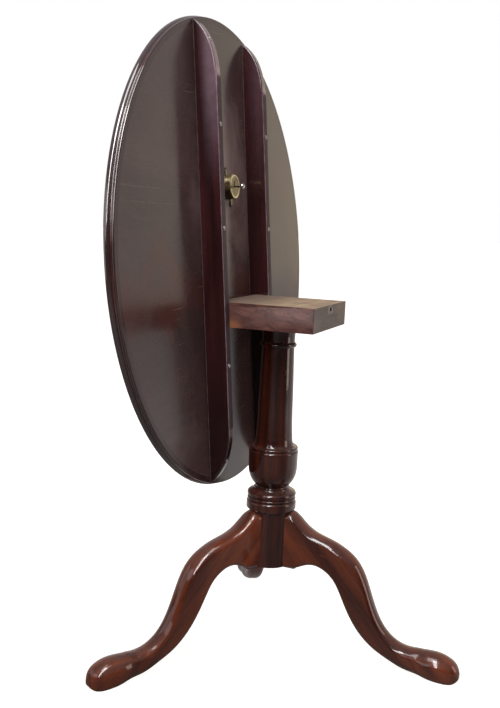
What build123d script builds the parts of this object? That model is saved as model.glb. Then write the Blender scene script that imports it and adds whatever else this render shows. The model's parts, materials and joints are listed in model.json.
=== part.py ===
from build123d import *
import os
from math import cos, radians, sin, sqrt

# Tilt-top tripod table, in millimetres.  Z is up and the origin is on the floor, under the column.
# X runs along the hinge of the top, and Y points to the end of the block that carries the strike plate.
# The model stands with its top tipped up, leaning on the hinge end of the block.

# ---------------------------------------------------------------- driving dimensions
top_radius = 450.0              # round top
top_thick = 20.0
block_top = 698.0               # height of the block's upper face
block_thick = 47.0
block_width = 214.0             # along the hinge
block_length = 206.0            # from the hinge end to the strike end
hinge_drop = 12.0               # hinge axis below the block's upper face
lean = 4.5                      # the tipped top goes this far past upright
column_foot = 166.0             # underside of the column
leg_turn = -2.9                 # the tripod stands this far round from the block
part_gap = 0.1                  # gap round a screwed or wedged piece in its hole
glue_gap = 0.02                 # gap round a glued pin
pivot_fit = 0.06                # radial running clearance of the pintles

# bearers
bearer_gap = 0.5                # between the block and each bearer
bearer_thick = 20.0
bearer_depth = 43.0
bearer_length = 850.0
bearer_sweep = 120.0            # length of the curve at each end
bearer_tip = 4.0                # depth left at the tip

# pintles
pintle_radius = 8.0
pintle_in_block = 32.0
pintle_in_bearer = 14.0

# column
tenon_radius = 19.0
hub_radius = 44.0
collar_base = 280.0

# catch
case_radius = 24.0
case_depth = 19.0               # from the top's underside to the case's face
case_wall = 1.5
case_gap = 8.5                  # case to strike end of the block, with the top level
bolt_width = 10.0
bolt_thick = 5.0
bolt_below = 9.0                # middle of the bolt below the top's underside
bolt_entry = 7.2                # how far the bolt enters the strike plate
bolt_throw = 9.0                # how far the knob draws it back

# ---------------------------------------------------------------- worked out from them
block_base = block_top - block_thick
block_end = block_length / 2
hinge_z = block_top - hinge_drop
hinge_to_end = (hinge_drop - (block_thick - hinge_drop) * sin(radians(lean))) / cos(radians(lean))
hinge_y = -block_end + hinge_to_end
top_centre = -hinge_y           # hinge to the middle of the top, so that the level top is centred
strike_reach = block_end - hinge_y
bearer_inner = block_width / 2 + bearer_gap
bearer_middle = bearer_inner + bearer_thick / 2
tilt = 90 + lean
along = Vector(0, cos(radians(tilt)), sin(radians(tilt)))      # up the tipped top
outward = Vector(0, -sin(radians(tilt)), cos(radians(tilt)))   # out of its polished face
hinge = Vector(0, hinge_y, hinge_z)


def top_layer(height):
    """Plane parallel to the top, at a height from the hinge axis towards the polished face."""
    return Plane(origin=hinge + outward * height, x_dir=(1, 0, 0), z_dir=outward)


def top_side(x):
    """Plane across the hinge axis, with its x up the top and its y towards the polished face."""
    return Plane(origin=hinge + Vector(x, 0, 0), x_dir=along, z_dir=(1, 0, 0))


def save(builder, name):
    """Label a finished piece and write it."""
    builder.part.label = name
    export_step(builder.part, f"parts/{name}.step")


def screw(head_radius, shank_radius, length, slot=True, grow=0.0):
    """Countersunk wood screw with its head's face on the plane in use, pointing down from it."""
    head = head_radius - shank_radius
    with BuildPart(mode=Mode.PRIVATE) as body:
        with BuildSketch(Plane.XZ):
            with BuildLine():
                Polyline(
                    (0, grow),
                    (head_radius + grow, grow),
                    (head_radius + grow, -0.4),
                    (shank_radius + grow, -head - 0.4),
                    (shank_radius + grow, -length + 2 * shank_radius),
                    (0.3 + grow, -length - grow),
                    (0, -length - grow),
                    close=True,
                )
            make_face()
        revolve(axis=Axis.Z)
        if slot:
            with BuildSketch(Plane.XY.offset(-0.3 * head)):
                Rectangle(2 * head_radius + 1, 0.35 * shank_radius)
            extrude(amount=head, mode=Mode.SUBTRACT)
    return body.part


os.makedirs("parts", exist_ok=True)

# ---------------------------------------------------------------- tabletop
# Round board with a moulded edge: a broad thumb round next to the polished face, a cove, and a
# small bead next to the underside.
under = hinge_drop
face = under + top_thick
bead = 4.2
cove = 4.3
cove_depth = 5.0
bearer_screw_at = (-385.0, -203.0, 53.0, 240.0, 390.0)     # from the middle of the bearer
bearer_screw_head = 4.5
bearer_screw_shank = 2.2
bearer_screw_bite = 12.0                                    # how far each screw enters the top
sweep_start = bearer_length / 2 - bearer_sweep


def bearer_edge(offset):
    """Height of the bearer's lower edge at an offset from its middle."""
    past = max(abs(offset) - sweep_start, 0) / bearer_sweep
    return under - bearer_tip - (bearer_depth - bearer_tip) * (1 - past ** 2.4) ** 0.8


bearer_screws_placed = []
bearer_screw_holes = []
for side in (-1, 1):
    for offset in bearer_screw_at:
        head_height = bearer_edge(offset) + 0.6
        length = under - head_height + bearer_screw_bite
        bearer_line = hinge + Vector(side * bearer_middle, 0, 0)
        seat = Plane(
            origin=bearer_line + along * (top_centre + offset) + outward * head_height,
            x_dir=(1, 0, 0),
            z_dir=-outward,
        )
        turned = seat * Rot(0, 0, 35 + 7 * offset)
        bearer_screws_placed.append(turned * screw(bearer_screw_head, bearer_screw_shank, length))
        recess = screw(bearer_screw_head, bearer_screw_shank, length, slot=False, grow=part_gap)
        mouth = Pos(0, 0, 2) * Cylinder(bearer_screw_head + part_gap, 4.2)
        bearer_screw_holes.append(seat * (recess + mouth))

catch_y = strike_reach + case_gap + case_radius             # hinge to the middle of the catch case
lug_reach = case_radius + 8.5
lug_radius = 6.0
lug_thick = 1.6
lug_angles = (90, 210, 330)
catch_screw_head = 3.2
catch_screw_shank = 1.5
catch_screw_length = 14.0
lug_points = []
for angle in lug_angles:
    lug_x = lug_reach * cos(radians(angle))
    lug_y = catch_y + lug_reach * sin(radians(angle))
    lug_points.append((lug_x, lug_y))

catch_screws_placed = []
catch_screw_holes = []
for lug_x, lug_y in lug_points:
    seat = Plane(
        origin=hinge + Vector(lug_x, 0, 0) + along * lug_y + outward * (under - lug_thick),
        x_dir=(1, 0, 0),
        z_dir=-outward,
    )
    turned = seat * Rot(0, 0, 3 * lug_y)
    catch_screws_placed.append(turned * screw(catch_screw_head, catch_screw_shank, catch_screw_length))
    recess = screw(catch_screw_head, catch_screw_shank, catch_screw_length, slot=False, grow=part_gap)
    catch_screw_holes.append(seat * recess)

with BuildPart() as tabletop:
    with BuildSketch(top_side(0)):
        with BuildLine():
            rim = top_centre + top_radius
            bead_rim = rim - 2.6
            Line((top_centre, under), (bead_rim - 3.6, under))
            ThreePointArc(
                (bead_rim - 3.6, under),
                (bead_rim - 0.4, under + 0.35 * bead),
                (bead_rim - 0.9, under + bead),
            )
            ThreePointArc(
                (bead_rim - 0.9, under + bead),
                (rim - cove_depth, under + bead + 0.45 * cove),
                (rim - 2.6, under + bead + cove),
            )
            ThreePointArc(
                (rim - 2.6, under + bead + cove),
                (rim, face - 6.4),
                (rim - 2.8, face - 1.2),
            )
            ThreePointArc((rim - 2.8, face - 1.2), (rim - 4.2, face - 0.3), (rim - 6.0, face))
            Line((rim - 6.0, face), (top_centre, face))
            Line((top_centre, face), (top_centre, under))
        make_face()
    revolve(axis=Axis(hinge + along * top_centre, outward))
    for hole in bearer_screw_holes + catch_screw_holes:
        add(hole, mode=Mode.SUBTRACT)
save(tabletop, "tabletop")


# ---------------------------------------------------------------- bearers
# Two cleats on edge across the underside.  Their ends run out to the moulded rim in a convex curve.
def make_bearer(side):
    """One bearer, on the given side of the block."""
    low = under - bearer_depth
    with BuildPart() as bearer:
        with BuildSketch(top_side(side * bearer_middle)):
            with BuildLine():
                ends = []
                for way in (-1, 1):
                    tip = top_centre + way * bearer_length / 2
                    knee = top_centre + way * sweep_start
                    ends.append((tip, knee))
                    Line((tip, under), (tip, under - bearer_tip))
                    Bezier(
                        (tip, under - bearer_tip),
                        (tip - way * 0.20 * bearer_sweep, under - 0.72 * bearer_depth),
                        (knee + way * 0.50 * bearer_sweep, low),
                        (knee, low),
                    )
                Line((ends[0][1], low), (ends[1][1], low))
                Line((ends[0][0], under), (ends[1][0], under))
            make_face()
        extrude(amount=bearer_thick / 2, both=True)
        cheeks = bearer.faces().filter_by(Axis.X)
        below_top = under - 0.5 * bearer_tip
        worn = cheeks.edges().filter_by(lambda edge: (edge.center() - hinge).dot(outward) < below_top)
        worn = worn.filter_by(lambda edge: edge.length > 2 * bearer_tip)
        fillet(worn, 2.6)
        with BuildSketch(top_side(side * bearer_inner)):
            Circle(pintle_radius + pivot_fit)
        extrude(amount=side * (pintle_in_bearer + 1), mode=Mode.SUBTRACT)
        for hole in bearer_screw_holes:
            add(hole, mode=Mode.SUBTRACT)
    return bearer


save(make_bearer(1), "bearer_right")
save(make_bearer(-1), "bearer_left")

with BuildPart() as bearer_screws:
    for placed in bearer_screws_placed:
        add(placed)
save(bearer_screws, "bearer_screws")

# ---------------------------------------------------------------- block
# Thick square block on the column.  Its upper hinge corner is rounded about the pintles, and its
# lower hinge corner is the stop that the tipped top leans on.
strike_width = 32.0
strike_height = 16.0
strike_thick = 1.6
strike_drop = 1.0
strike_middle = block_top - strike_drop - strike_height / 2
hole_clear = 1.0
strike_screw_x = 12.0
strike_screw_head = 2.8
strike_screw_shank = 1.3
strike_screw_length = 12.0
corner_radius = hinge_drop - 0.3

strike_plane = Plane(origin=(0, block_end, strike_middle), x_dir=(-1, 0, 0), z_dir=(0, 1, 0))
strike_screws_placed = []
strike_screw_holes = []
for x in (-strike_screw_x, strike_screw_x):
    seat = strike_plane * Pos(x, 0, 0)
    turned = seat * Rot(0, 0, 20 * x)
    strike_screws_placed.append(turned * screw(strike_screw_head, strike_screw_shank, strike_screw_length))
    strike_screw_holes.append(
        seat * screw(strike_screw_head, strike_screw_shank, strike_screw_length, slot=False, grow=part_gap)
    )

bolt_hole_plane = Plane(origin=(0, block_end, block_top - bolt_below), x_dir=(-1, 0, 0), z_dir=(0, 1, 0))
with BuildPart() as block:
    with BuildSketch(Plane.YZ):
        with BuildLine():
            corner_rise = sqrt(corner_radius ** 2 - hinge_to_end ** 2)
            arc_mid = radians(112)
            Polyline((-block_end, hinge_z + corner_rise), (-block_end, block_base), (block_end, block_base))
            Polyline((block_end, block_base), (block_end, block_top), (hinge_y + 2.4, block_top))
            Line((hinge_y + 2.4, block_top), (hinge_y, hinge_z + corner_radius))
            ThreePointArc(
                (hinge_y, hinge_z + corner_radius),
                (hinge_y + corner_radius * cos(arc_mid), hinge_z + corner_radius * sin(arc_mid)),
                (-block_end, hinge_z + corner_rise),
            )
        make_face()
    extrude(amount=block_width / 2, both=True)
    chamfer(block.faces().sort_by(Axis.Y)[-1].edges().filter_by(Axis.Z), 1.2)
    with Locations((0, 0, block_base)):
        Cylinder(
            tenon_radius + part_gap,
            block_thick,
            align=(Align.CENTER, Align.CENTER, Align.MIN),
            mode=Mode.SUBTRACT,
        )
    for way in (-1, 1):
        with BuildSketch(Plane.YZ.offset(way * block_width / 2)):
            with Locations((hinge_y, hinge_z)):
                Circle(pintle_radius + glue_gap)
        extrude(amount=-way * pintle_in_block, mode=Mode.SUBTRACT)
    with BuildSketch(strike_plane):
        RectangleRounded(strike_width + 2 * part_gap, strike_height + 2 * part_gap, 2)
    extrude(amount=-strike_thick, mode=Mode.SUBTRACT)
    with BuildSketch(bolt_hole_plane):
        Rectangle(bolt_width + 2 * hole_clear, bolt_thick + 2 * hole_clear)
    extrude(amount=-bolt_entry - 2 * hole_clear, mode=Mode.SUBTRACT)
    for hole in strike_screw_holes:
        add(hole, mode=Mode.SUBTRACT)
save(block, "block")

# ---------------------------------------------------------------- strike plate
# Brass plate let into the end of the block, with a hole for the catch bolt.
with BuildPart() as strike_plate:
    with BuildSketch(strike_plane):
        RectangleRounded(strike_width, strike_height, 2)
    extrude(amount=-strike_thick)
    with BuildSketch(bolt_hole_plane):
        Rectangle(bolt_width + 2 * hole_clear, bolt_thick + 2 * hole_clear)
    extrude(amount=-strike_thick, mode=Mode.SUBTRACT)
    for hole in strike_screw_holes:
        add(hole, mode=Mode.SUBTRACT)
save(strike_plate, "strike_plate")

with BuildPart() as strike_screws:
    for placed in strike_screws_placed:
        add(placed)
save(strike_screws, "strike_screws")


# ---------------------------------------------------------------- pintles
# Turned pins glued into the block, one each side, that the bearers turn on.
def make_pintle(side):
    """One pintle, on the given side of the block."""
    length = pintle_in_block + bearer_gap + pintle_in_bearer
    inner = side * (block_width / 2 - pintle_in_block)
    with BuildPart() as pintle:
        with BuildSketch(Plane(origin=(inner, hinge_y, hinge_z), x_dir=(0, 1, 0), z_dir=(side, 0, 0))):
            Circle(pintle_radius)
        extrude(amount=length)
        chamfer(pintle.edges().filter_by(GeomType.CIRCLE), 1)
    return pintle


save(make_pintle(1), "pintle_right")
save(make_pintle(-1), "pintle_left")

# ---------------------------------------------------------------- places on the tripod
leg_count = 3
plate_thick = 3.0
plate_disc = 34.0
arm_width = 24.0
arm_reach = 62.0                # the plate's arms lie flat under the legs out to here
plate_screw_at = (24.0, 53.0)
plate_screw_head = 4.0
plate_screw_shank = 2.0
plate_screw_length = 20.0
wedge_top = 5.0
wedge_tip = 2.0
wedge_depth = 34.0


def leg_floor(number, height):
    """Level plane with its x along a leg."""
    turn = radians(leg_turn + 90 + 360 / leg_count * number)
    return Plane(origin=(0, 0, height), x_dir=(cos(turn), sin(turn), 0), z_dir=(0, 0, 1))


def wedge_outline(grow=0.0):
    """Corners of the tenon wedge, as distance from the column's middle and height."""
    top = wedge_top / 2 + grow
    tip = wedge_tip / 2 + grow
    low = block_top - wedge_depth - grow
    return ((-tip, low), (tip, low), (top, block_top), (-top, block_top))


plate_screws_placed = []
plate_screw_holes = []
for number in range(leg_count):
    for reach in plate_screw_at:
        seat = leg_floor(number, column_foot - plate_thick) * Pos(reach, 0, 0) * Rot(180, 0, 25 * reach)
        plate_screws_placed.append(seat * screw(plate_screw_head, plate_screw_shank, plate_screw_length))
        recess = screw(plate_screw_head, plate_screw_shank, plate_screw_length, slot=False, grow=part_gap)
        plate_screw_holes.append(seat * recess)

# ---------------------------------------------------------------- legs
# Three cabriole legs.  The outline is drawn in the leg's own upright plane, as distance from the
# column and height, and the sections are lofted along it.  Each leg's dovetail slides up into the
# column from below.
leg_top_line = (
    (36, 279.2),
    (54, 277.0),
    (66, 267.5),
    (80, 254.0),
    (103, 241.5),
    (134, 232.0),
    (164, 219.0),
    (188, 200.5),
    (207.5, 169.5),
    (226, 122.0),
    (251, 75.5),
    (280, 53.0),
    (311, 48.0),
)
leg_under_line = (
    (36, 166.0),
    (62.5, 167.0),
    (82, 174.8),
    (103, 179.5),
    (124, 173.2),
    (144, 157.5),
    (161.5, 128.0),
    (179, 92.0),
    (203.5, 57.0),
    (234.5, 31.5),
    (269, 15.0),
    (301, 5.0),
)
leg_widths = ((0.0, 43), (0.16, 45), (0.42, 46.5), (0.68, 39.5), (0.84, 39), (1.0, 47))
leg_sections = 17
foot_reach = 401.5
# foot sections: distance out, height of the sole before it is cut level, height of the back, width,
# and how round the underside's corners are
foot_sections = (
    (329, 1.6, 49.0, 53.5, 0.36),
    (354, -1.6, 49.7, 57.5, 0.26),
    (373, -1.5, 46.3, 54.5, 0.18),
    (387, -1.2, 40.0, 45.6, 0.15),
    (396, 1.8, 31.7, 31, 0.15),
    (foot_reach, 7.5, 19.0, 14, 0.15),
)
dovetail_depth = 15.0
dovetail_neck = 14.0
dovetail_wide = 21.0
dovetail_top = 266.0


def width_at(way_along):
    """Leg width at a share of the way from the column to the foot."""
    for (start, from_width), (end, to_width) in zip(leg_widths, leg_widths[1:]):
        if way_along <= end:
            share = (way_along - start) / (end - start)
            return from_width + (to_width - from_width) * share * share * (3 - 2 * share)
    return leg_widths[-1][1]


def leg_plane(number):
    """Upright plane of a leg, with x out from the column and y up."""
    turn = radians(leg_turn + 90 + 360 / leg_count * number)
    out = Vector(cos(turn), sin(turn), 0)
    return Plane(origin=(0, 0, 0), x_dir=out, z_dir=(out.Y, -out.X, 0))


def leg_section(upright, under_point, top_point, width, roundness, under_round):
    """Section of a leg that spans from a point on its underside to one on its back."""
    low = upright.from_local_coords(Vector(*under_point))
    high = upright.from_local_coords(Vector(*top_point))
    rise = (high - low).normalized()
    depth = (high - low).length
    across = upright.z_dir
    crown = depth * roundness
    with BuildSketch(Plane(origin=low, x_dir=across, z_dir=across.cross(rise))) as section:
        with BuildLine():
            Polyline(
                (-width / 2, depth - crown),
                (-width / 2 * 0.92, 0),
                (width / 2 * 0.92, 0),
                (width / 2, depth - crown),
            )
            ThreePointArc((width / 2, depth - crown), (0, depth), (-width / 2, depth - crown))
        make_face()
        fillet(section.vertices().group_by(Axis.Y)[-1], min(width, depth) * 0.28)
        fillet(section.vertices().group_by(Axis.Y)[0], min(width, depth) * under_round)
    return section.sketch.face()


def dovetail(grow=0.0):
    """Corners of a leg's dovetail, seen from above, with x out from the column."""
    half_neck = dovetail_neck / 2 + grow
    half_wide = dovetail_wide / 2 + grow
    inner = hub_radius - dovetail_depth - grow
    outer = hub_radius + 1
    return ((inner, -half_wide), (outer, -half_neck), (outer, half_neck), (inner, half_wide))


def make_leg(number):
    """One leg, with its dovetail."""
    upright = leg_plane(number)
    back = Spline(*leg_top_line)
    belly = Spline(*leg_under_line)
    sections = []
    for station in range(leg_sections):
        share = station / (leg_sections - 1)
        roundness = 0.10 + 0.16 * share
        under_round = 0.15 + 0.22 * share
        ends = (belly @ share, back @ share)
        sections.append(leg_section(upright, *ends, width_at(share), roundness, under_round))
    for out, sole, high, width, under_round in foot_sections:
        sections.append(leg_section(upright, (out, sole), (out, high), width, 0.42, under_round))
    with BuildPart() as leg:
        loft(sections)
        with BuildSketch(Plane.XY):
            Circle(hub_radius + part_gap / 2)
        extrude(amount=block_base, mode=Mode.SUBTRACT)
        with BuildSketch(Plane.XY.offset(collar_base - part_gap)):
            Circle(hub_radius + 9)
        extrude(amount=20, mode=Mode.SUBTRACT)
        with BuildSketch(leg_floor(number, 0)):
            Rectangle(2 * arm_reach + 4, 200)
        extrude(amount=column_foot, mode=Mode.SUBTRACT)
        with BuildSketch(Plane.XY):
            Rectangle(3 * foot_reach, 3 * foot_reach)
        extrude(amount=-5, mode=Mode.SUBTRACT)
        with BuildSketch(leg_floor(number, column_foot)):
            Polygon(*dovetail(), align=None)
        extrude(amount=dovetail_top - column_foot)
        for hole in plate_screw_holes:
            add(hole, mode=Mode.SUBTRACT)
    return leg


leg_names = ("leg_strike_side", "leg_left", "leg_right")
for number, name in enumerate(leg_names):
    save(make_leg(number), name)


# ---------------------------------------------------------------- column
# Turned shaft with a through tenon for the block, an astragal under its neck, a vase, two rings, a
# collar, and a plain hub with three dovetail sockets.
with BuildPart() as column:
    with BuildSketch(Plane.XZ):
        with BuildLine():
            Line((0, block_top), (tenon_radius, block_top))
            Line((tenon_radius, block_top), (tenon_radius, block_base))
            Line((tenon_radius, block_base), (36.0, block_base))
            # neck and astragal
            Spline((36.0, block_base), (33.2, 640), (32.3, 619), tangents=((-0.5, -1), (0, -1)))
            Line((32.3, 619), (34.0, 617.6))
            ThreePointArc((34.0, 617.6), (36.2, 613.4), (34.0, 609.2))
            Line((34.0, 609.2), (31.9, 608))
            # shaft, swelling downwards
            Spline((31.9, 608), (32.3, 583), (34.0, 502), (36.3, 431), tangents=((0, -1), (0.08, -1)))
            Spline((36.3, 431), (38.0, 416), (43.5, 408.6), tangents=((0.05, -1), (1, -0.35)))
            # vase, with a double fillet at its shoulder
            Line((43.5, 408.6), (46.6, 408.6))
            ThreePointArc((46.6, 408.6), (48.6, 406.2), (47.6, 403.4))
            Line((47.6, 403.4), (47.6, 401.6))
            ThreePointArc((47.6, 401.6), (49.6, 398.6), (49.2, 395.2))
            Spline(
                (49.2, 395.2),
                (49.1, 372),
                (46.4, 349),
                (40.4, 336.6),
                (32.8, 328.6),
                tangents=((0, -1), (-1, -0.55)),
            )
            # waist, two rings and the collar
            ThreePointArc((32.8, 328.6), (32.2, 326), (34.4, 323.6))
            Line((34.4, 323.6), (36.0, 323.6))
            Spline((36.0, 323.6), (40.5, 319.2), (44.6, 317.2), tangents=((0.15, -1), (1, -0.25)))
            ThreePointArc((44.6, 317.2), (49.2, 311.6), (46.2, 305.4))
            Line((46.2, 305.4), (46.2, 304.4))
            ThreePointArc((46.2, 304.4), (48.8, 302.0), (46.2, 299.6))
            Line((46.2, 299.6), (46.0, 298.4))
            ThreePointArc((46.0, 298.4), (49.0, 296.2), (50.0, 292.6))
            Line((50.0, 292.6), (50.0, collar_base + 2))
            Line((50.0, collar_base + 2), (48.4, collar_base))
            Line((48.4, collar_base), (hub_radius, collar_base))
            Line((hub_radius, collar_base), (hub_radius, column_foot))
            Line((hub_radius, column_foot), (0, column_foot))
            Line((0, column_foot), (0, block_top))
        make_face()
    revolve(axis=Axis.Z)
    for number in range(leg_count):
        with BuildSketch(leg_floor(number, column_foot)):
            Polygon(*dovetail(part_gap / 2), align=None)
        extrude(amount=dovetail_top + part_gap - column_foot, mode=Mode.SUBTRACT)
    with BuildSketch(Plane.XZ):
        with BuildLine():
            Polyline(*wedge_outline(part_gap / 2), close=True)
        make_face()
    extrude(amount=tenon_radius + 1, both=True, mode=Mode.SUBTRACT)
    for hole in plate_screw_holes:
        add(hole, mode=Mode.SUBTRACT)
save(column, "column")

# ---------------------------------------------------------------- tenon wedge
# Driven into the top of the tenon to spread it in the block.
with BuildPart() as tenon_wedge:
    with BuildSketch(Plane.XZ):
        with BuildLine():
            Polyline(*wedge_outline(), close=True)
        make_face()
    extrude(amount=tenon_radius, both=True)
    with BuildSketch(Plane.XY.offset(block_base)):
        Circle(tenon_radius)
    extrude(amount=block_thick, mode=Mode.INTERSECT)
save(tenon_wedge, "tenon_wedge")

# ---------------------------------------------------------------- tripod plate
# Three-armed iron plate screwed up into the column and the legs, which keeps the dovetails home.
with BuildPart() as tripod_plate:
    with BuildSketch(Plane.XY.offset(column_foot - plate_thick)):
        Circle(plate_disc)
    extrude(amount=plate_thick)
    for number in range(leg_count):
        with BuildSketch(leg_floor(number, column_foot - plate_thick)):
            with Locations((arm_reach / 2, 0)):
                Rectangle(arm_reach, arm_width)
        extrude(amount=plate_thick)
    fillet(tripod_plate.edges().filter_by(Axis.Z), 5)
    for hole in plate_screw_holes:
        add(hole, mode=Mode.SUBTRACT)
save(tripod_plate, "tripod_plate")

with BuildPart() as plate_screws:
    for placed in plate_screws_placed:
        add(placed)
save(plate_screws, "plate_screws")

# ---------------------------------------------------------------- catch
# Spring catch on the underside.  A round brass case on a lugged back plate holds a bolt that a
# coil spring pushes at the block; a knob on a stem through the case draws the bolt back.
case_back = under - lug_thick
case_face = under - case_depth
bolt_middle = under - bolt_below
bolt_tip = strike_reach - bolt_entry
bolt_tail = catch_y + 7.0
face_rim = 4.0
face_sink = 1.2
stem_radius = 1.75
stem_clear = 0.5
stem_out = 9.0                  # from the case's face to the knob's neck
knob_radius = 5.6
knob_throat = 2.7
spring_radius = 2.1
spring_wire = 0.35
spring_turns = 7
spring_seat = 0.15


with BuildPart() as catch_back:
    with BuildSketch(top_layer(case_back)):
        with Locations((0, catch_y)):
            Circle(case_radius + 1.2)
        for lug_x, lug_y in lug_points:
            with Locations((lug_x, lug_y)):
                Circle(lug_radius)
        for angle in lug_angles:
            with Locations(Location((0, catch_y, 0), (0, 0, angle))):
                with Locations((lug_reach / 2, 0)):
                    Rectangle(lug_reach, 2 * lug_radius * 0.9)
    extrude(amount=lug_thick)
    for hole in catch_screw_holes:
        add(hole, mode=Mode.SUBTRACT)
save(catch_back, "catch_back")

with BuildPart() as catch_case:
    with BuildSketch(top_side(0)):
        with BuildLine():
            mid = catch_y
            Polyline(
                (mid + case_radius, case_back),
                (mid + case_radius, case_face + 1.5),
                (mid + case_radius - 1.5, case_face),
                (mid + case_radius - face_rim, case_face),
                (mid + case_radius - face_rim - 1.2, case_face + face_sink),
                (mid, case_face + face_sink),
                (mid, case_face + face_sink + case_wall),
                (mid + case_radius - face_rim - 1.2, case_face + face_sink + case_wall),
                (mid + case_radius - case_wall, case_face + case_wall + 1.5),
                (mid + case_radius - case_wall, case_back),
                close=True,
            )
        make_face()
    revolve(axis=Axis(hinge + along * catch_y, outward))
    with BuildSketch(top_layer(case_face - 1)):
        with Locations((0, catch_y + bolt_throw / 2)):
            SlotCenterToCenter(bolt_throw, 2 * (stem_radius + stem_clear), rotation=90)
    extrude(amount=face_sink + case_wall + 3, mode=Mode.SUBTRACT)
    slot_middle = hinge + along * catch_y + outward * bolt_middle
    with BuildSketch(Plane(origin=slot_middle, x_dir=(1, 0, 0), z_dir=-along)):
        Rectangle(bolt_width + 1.0, bolt_thick + 1.0)
    extrude(amount=case_radius + 2, mode=Mode.SUBTRACT)
save(catch_case, "catch_case")

with BuildPart() as catch_bolt:
    with BuildSketch(top_side(0)):
        with BuildLine():
            low = bolt_middle - bolt_thick / 2
            high = bolt_middle + bolt_thick / 2
            Polyline(
                (bolt_tip, high),
                (bolt_tip, high - 1.2),
                (bolt_tip + 5.0, low),
                (bolt_tail, low),
                (bolt_tail, high),
                close=True,
            )
        make_face()
    extrude(amount=bolt_width / 2, both=True)
    with BuildSketch(top_layer(bolt_middle + bolt_thick / 2)):
        with Locations((0, catch_y)):
            Circle(stem_radius + glue_gap)
    extrude(amount=-bolt_thick, mode=Mode.SUBTRACT)
save(catch_bolt, "catch_bolt")

knob_neck = case_face - stem_out
with BuildPart() as catch_stem:
    with BuildSketch(top_layer(knob_neck - knob_radius)):
        with Locations((0, catch_y)):
            Circle(stem_radius)
    extrude(amount=bolt_middle + bolt_thick / 2 - knob_neck + knob_radius)
save(catch_stem, "catch_stem")

with BuildPart() as catch_knob:
    with BuildSketch(top_side(0)):
        with BuildLine():
            ball = knob_neck - knob_radius
            Line((catch_y, knob_neck + 1.6), (catch_y + 3.1, knob_neck + 1.6))
            Line(
                (catch_y + 3.1, knob_neck + 1.6),
                (catch_y + knob_throat, ball + sqrt(knob_radius ** 2 - knob_throat ** 2)),
            )
            ThreePointArc(
                (catch_y + knob_throat, ball + sqrt(knob_radius ** 2 - knob_throat ** 2)),
                (catch_y + knob_radius, ball),
                (catch_y, ball - knob_radius),
            )
            Line((catch_y, ball - knob_radius), (catch_y, knob_neck + 1.6))
        make_face()
    revolve(axis=Axis(hinge + along * catch_y, outward))
    with BuildSketch(top_layer(knob_neck - knob_radius - glue_gap)):
        with Locations((0, catch_y)):
            Circle(stem_radius + glue_gap)
    extrude(amount=knob_radius + 3, mode=Mode.SUBTRACT)
save(catch_knob, "catch_knob")

spring_start = bolt_tail + spring_wire + spring_seat
spring_end = catch_y + sqrt((case_radius - case_wall) ** 2 - (spring_radius + spring_wire) ** 2)
spring_span = spring_end - spring_wire - spring_seat - spring_start
spring_base = Plane(
    origin=hinge + along * spring_start + outward * bolt_middle,
    x_dir=(1, 0, 0),
    z_dir=along,
)
with BuildPart() as catch_spring:
    with BuildLine(spring_base):
        coil = Helix(pitch=spring_span / spring_turns, height=spring_span, radius=spring_radius)
    with BuildSketch(Plane(origin=coil @ 0, z_dir=coil % 0)):
        Circle(spring_wire)
    sweep(path=coil, is_frenet=True)
save(catch_spring, "catch_spring")

with BuildPart() as catch_screws:
    for placed in catch_screws_placed:
        add(placed)
save(catch_screws, "catch_screws")
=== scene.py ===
"""Tilt-top tripod table: finishes, worn edges, screws and the studio round it."""
import json
import math
import bmesh
import bpy
from bpy.props import FloatProperty, FloatVectorProperty, IntProperty, PointerProperty
from mathutils import Euler, Matrix, Vector, noise


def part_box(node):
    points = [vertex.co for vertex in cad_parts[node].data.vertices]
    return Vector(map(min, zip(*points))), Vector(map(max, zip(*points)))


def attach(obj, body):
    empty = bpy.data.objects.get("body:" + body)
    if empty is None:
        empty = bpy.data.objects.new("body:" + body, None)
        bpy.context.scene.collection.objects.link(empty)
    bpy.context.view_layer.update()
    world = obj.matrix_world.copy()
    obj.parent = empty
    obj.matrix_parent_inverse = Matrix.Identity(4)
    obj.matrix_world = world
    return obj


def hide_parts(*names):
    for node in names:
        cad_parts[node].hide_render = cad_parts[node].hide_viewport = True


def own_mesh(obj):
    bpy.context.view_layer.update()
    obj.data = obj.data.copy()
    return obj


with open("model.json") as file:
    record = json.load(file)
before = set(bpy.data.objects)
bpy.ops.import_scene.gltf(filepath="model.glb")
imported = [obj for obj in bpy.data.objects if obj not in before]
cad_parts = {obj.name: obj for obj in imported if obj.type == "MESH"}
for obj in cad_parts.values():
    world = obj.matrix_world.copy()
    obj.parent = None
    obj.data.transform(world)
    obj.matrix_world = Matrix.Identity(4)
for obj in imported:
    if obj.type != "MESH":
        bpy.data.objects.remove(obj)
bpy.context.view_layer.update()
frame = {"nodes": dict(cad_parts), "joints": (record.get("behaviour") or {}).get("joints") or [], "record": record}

bl_info = {
    "name": "Tilt-top tripod table",
    "version": (1, 0, 0),
    "blender": (4, 5, 0),
    "location": "3D View > Sidebar > Table",
    "description": "Mahogany finishes, worn edges, screws and a small studio for a tilt-top table",
    "category": "Object",
}

# ---------------------------------------------------------------- places read from the frame
nodes = frame["nodes"]
joints = {joint["name"]: joint for joint in frame["joints"]}
hinge = Vector(joints["top_tilt"]["pos_m"])
tilt = math.radians(joints["top_tilt"]["range_deg"][1])
board_turn = Euler((tilt, 0, 0))  # from the level top to the tipped one
up_board = board_turn.to_matrix() @ Vector((0, 1, 0))
out_of_board = board_turn.to_matrix() @ Vector((0, 0, 1))
board_low, board_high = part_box("tabletop")
board_radius = (board_high.x - board_low.x) / 2


def board_place(point):
    """A point as seen from the hinge: along it, up the board, and towards the polished face."""
    from_hinge = Vector(point) - hinge
    return Vector((from_hinge.x, from_hinge.dot(up_board), from_hinge.dot(out_of_board)))


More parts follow.
